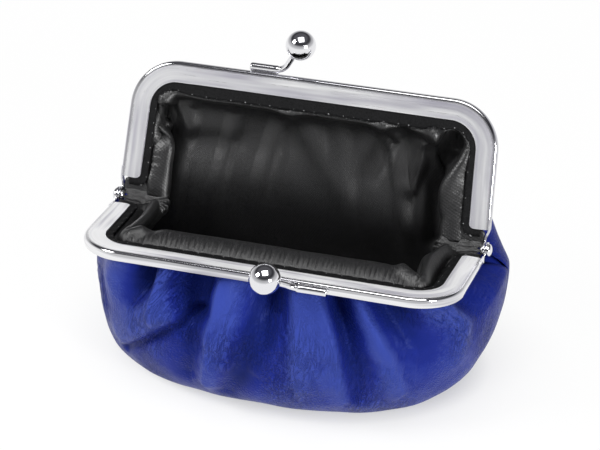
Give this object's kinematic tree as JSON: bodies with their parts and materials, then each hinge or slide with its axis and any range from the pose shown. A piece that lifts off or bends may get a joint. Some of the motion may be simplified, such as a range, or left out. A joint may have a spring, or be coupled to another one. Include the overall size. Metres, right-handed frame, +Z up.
{
  "type": "coin purse",
  "caption": "Gathered leather coin purse with a black lining, in a bent metal channel frame that shuts with two crossing balls.",
  "frame": {"origin": "on the surface that the purse stands on, straight below the middle of the hinge line", "axes": "+X along the hinge line to the right, +Y to the rear half, +Z up"},
  "size_m": [0.1166, 0.0823, 0.0914],
  "materials": {
    "chrome": "polished chrome plate on bent steel",
    "blue_leather": "soft grained leather, semi-matt, cobalt blue",
    "black_twill": "black twill lining with a slight sheen",
    "black_facing": "black woven facing strip",
    "black_thread": "black sewing thread",
    "paper_cord": "twisted kraft paper cord"
  },
  "bodies": {
    "bag": {"leather_front_panel": "blue_leather", "leather_back_panel": "blue_leather", "side_gusset_left": "blue_leather", "side_gusset_right": "blue_leather", "lining_front_panel": "black_twill", "lining_back_panel": "black_twill", "hinge_rivet_left": "chrome", "hinge_rivet_right": "chrome"},
    "front_half": {"front_frame": "chrome", "front_clasp_stem": "chrome", "front_clasp_ball": "chrome", "front_facing": "black_facing", "front_gather_thread": "black_thread", "front_channel_cord": "paper_cord"},
    "rear_half": {"rear_frame": "chrome", "rear_clasp_stem": "chrome", "rear_clasp_ball": "chrome", "rear_facing": "black_facing", "rear_gather_thread": "black_thread", "rear_channel_cord": "paper_cord"}
  },
  "joints": [
    {"name": "front_half_fold", "type": "hinge", "parent": "bag", "child": "front_half", "pos_m": [0, 0, 0.042], "axis": [-1, 0, 0], "range_deg": [0, 78.4], "deforming": ["leather_front_panel", "lining_front_panel"]},
    {"name": "rear_half_fold", "type": "hinge", "parent": "bag", "child": "rear_half", "pos_m": [0, 0, 0.042], "axis": [1, 0, 0], "range_deg": [0, 24.3], "deforming": ["leather_back_panel", "lining_back_panel"]}
  ]
}
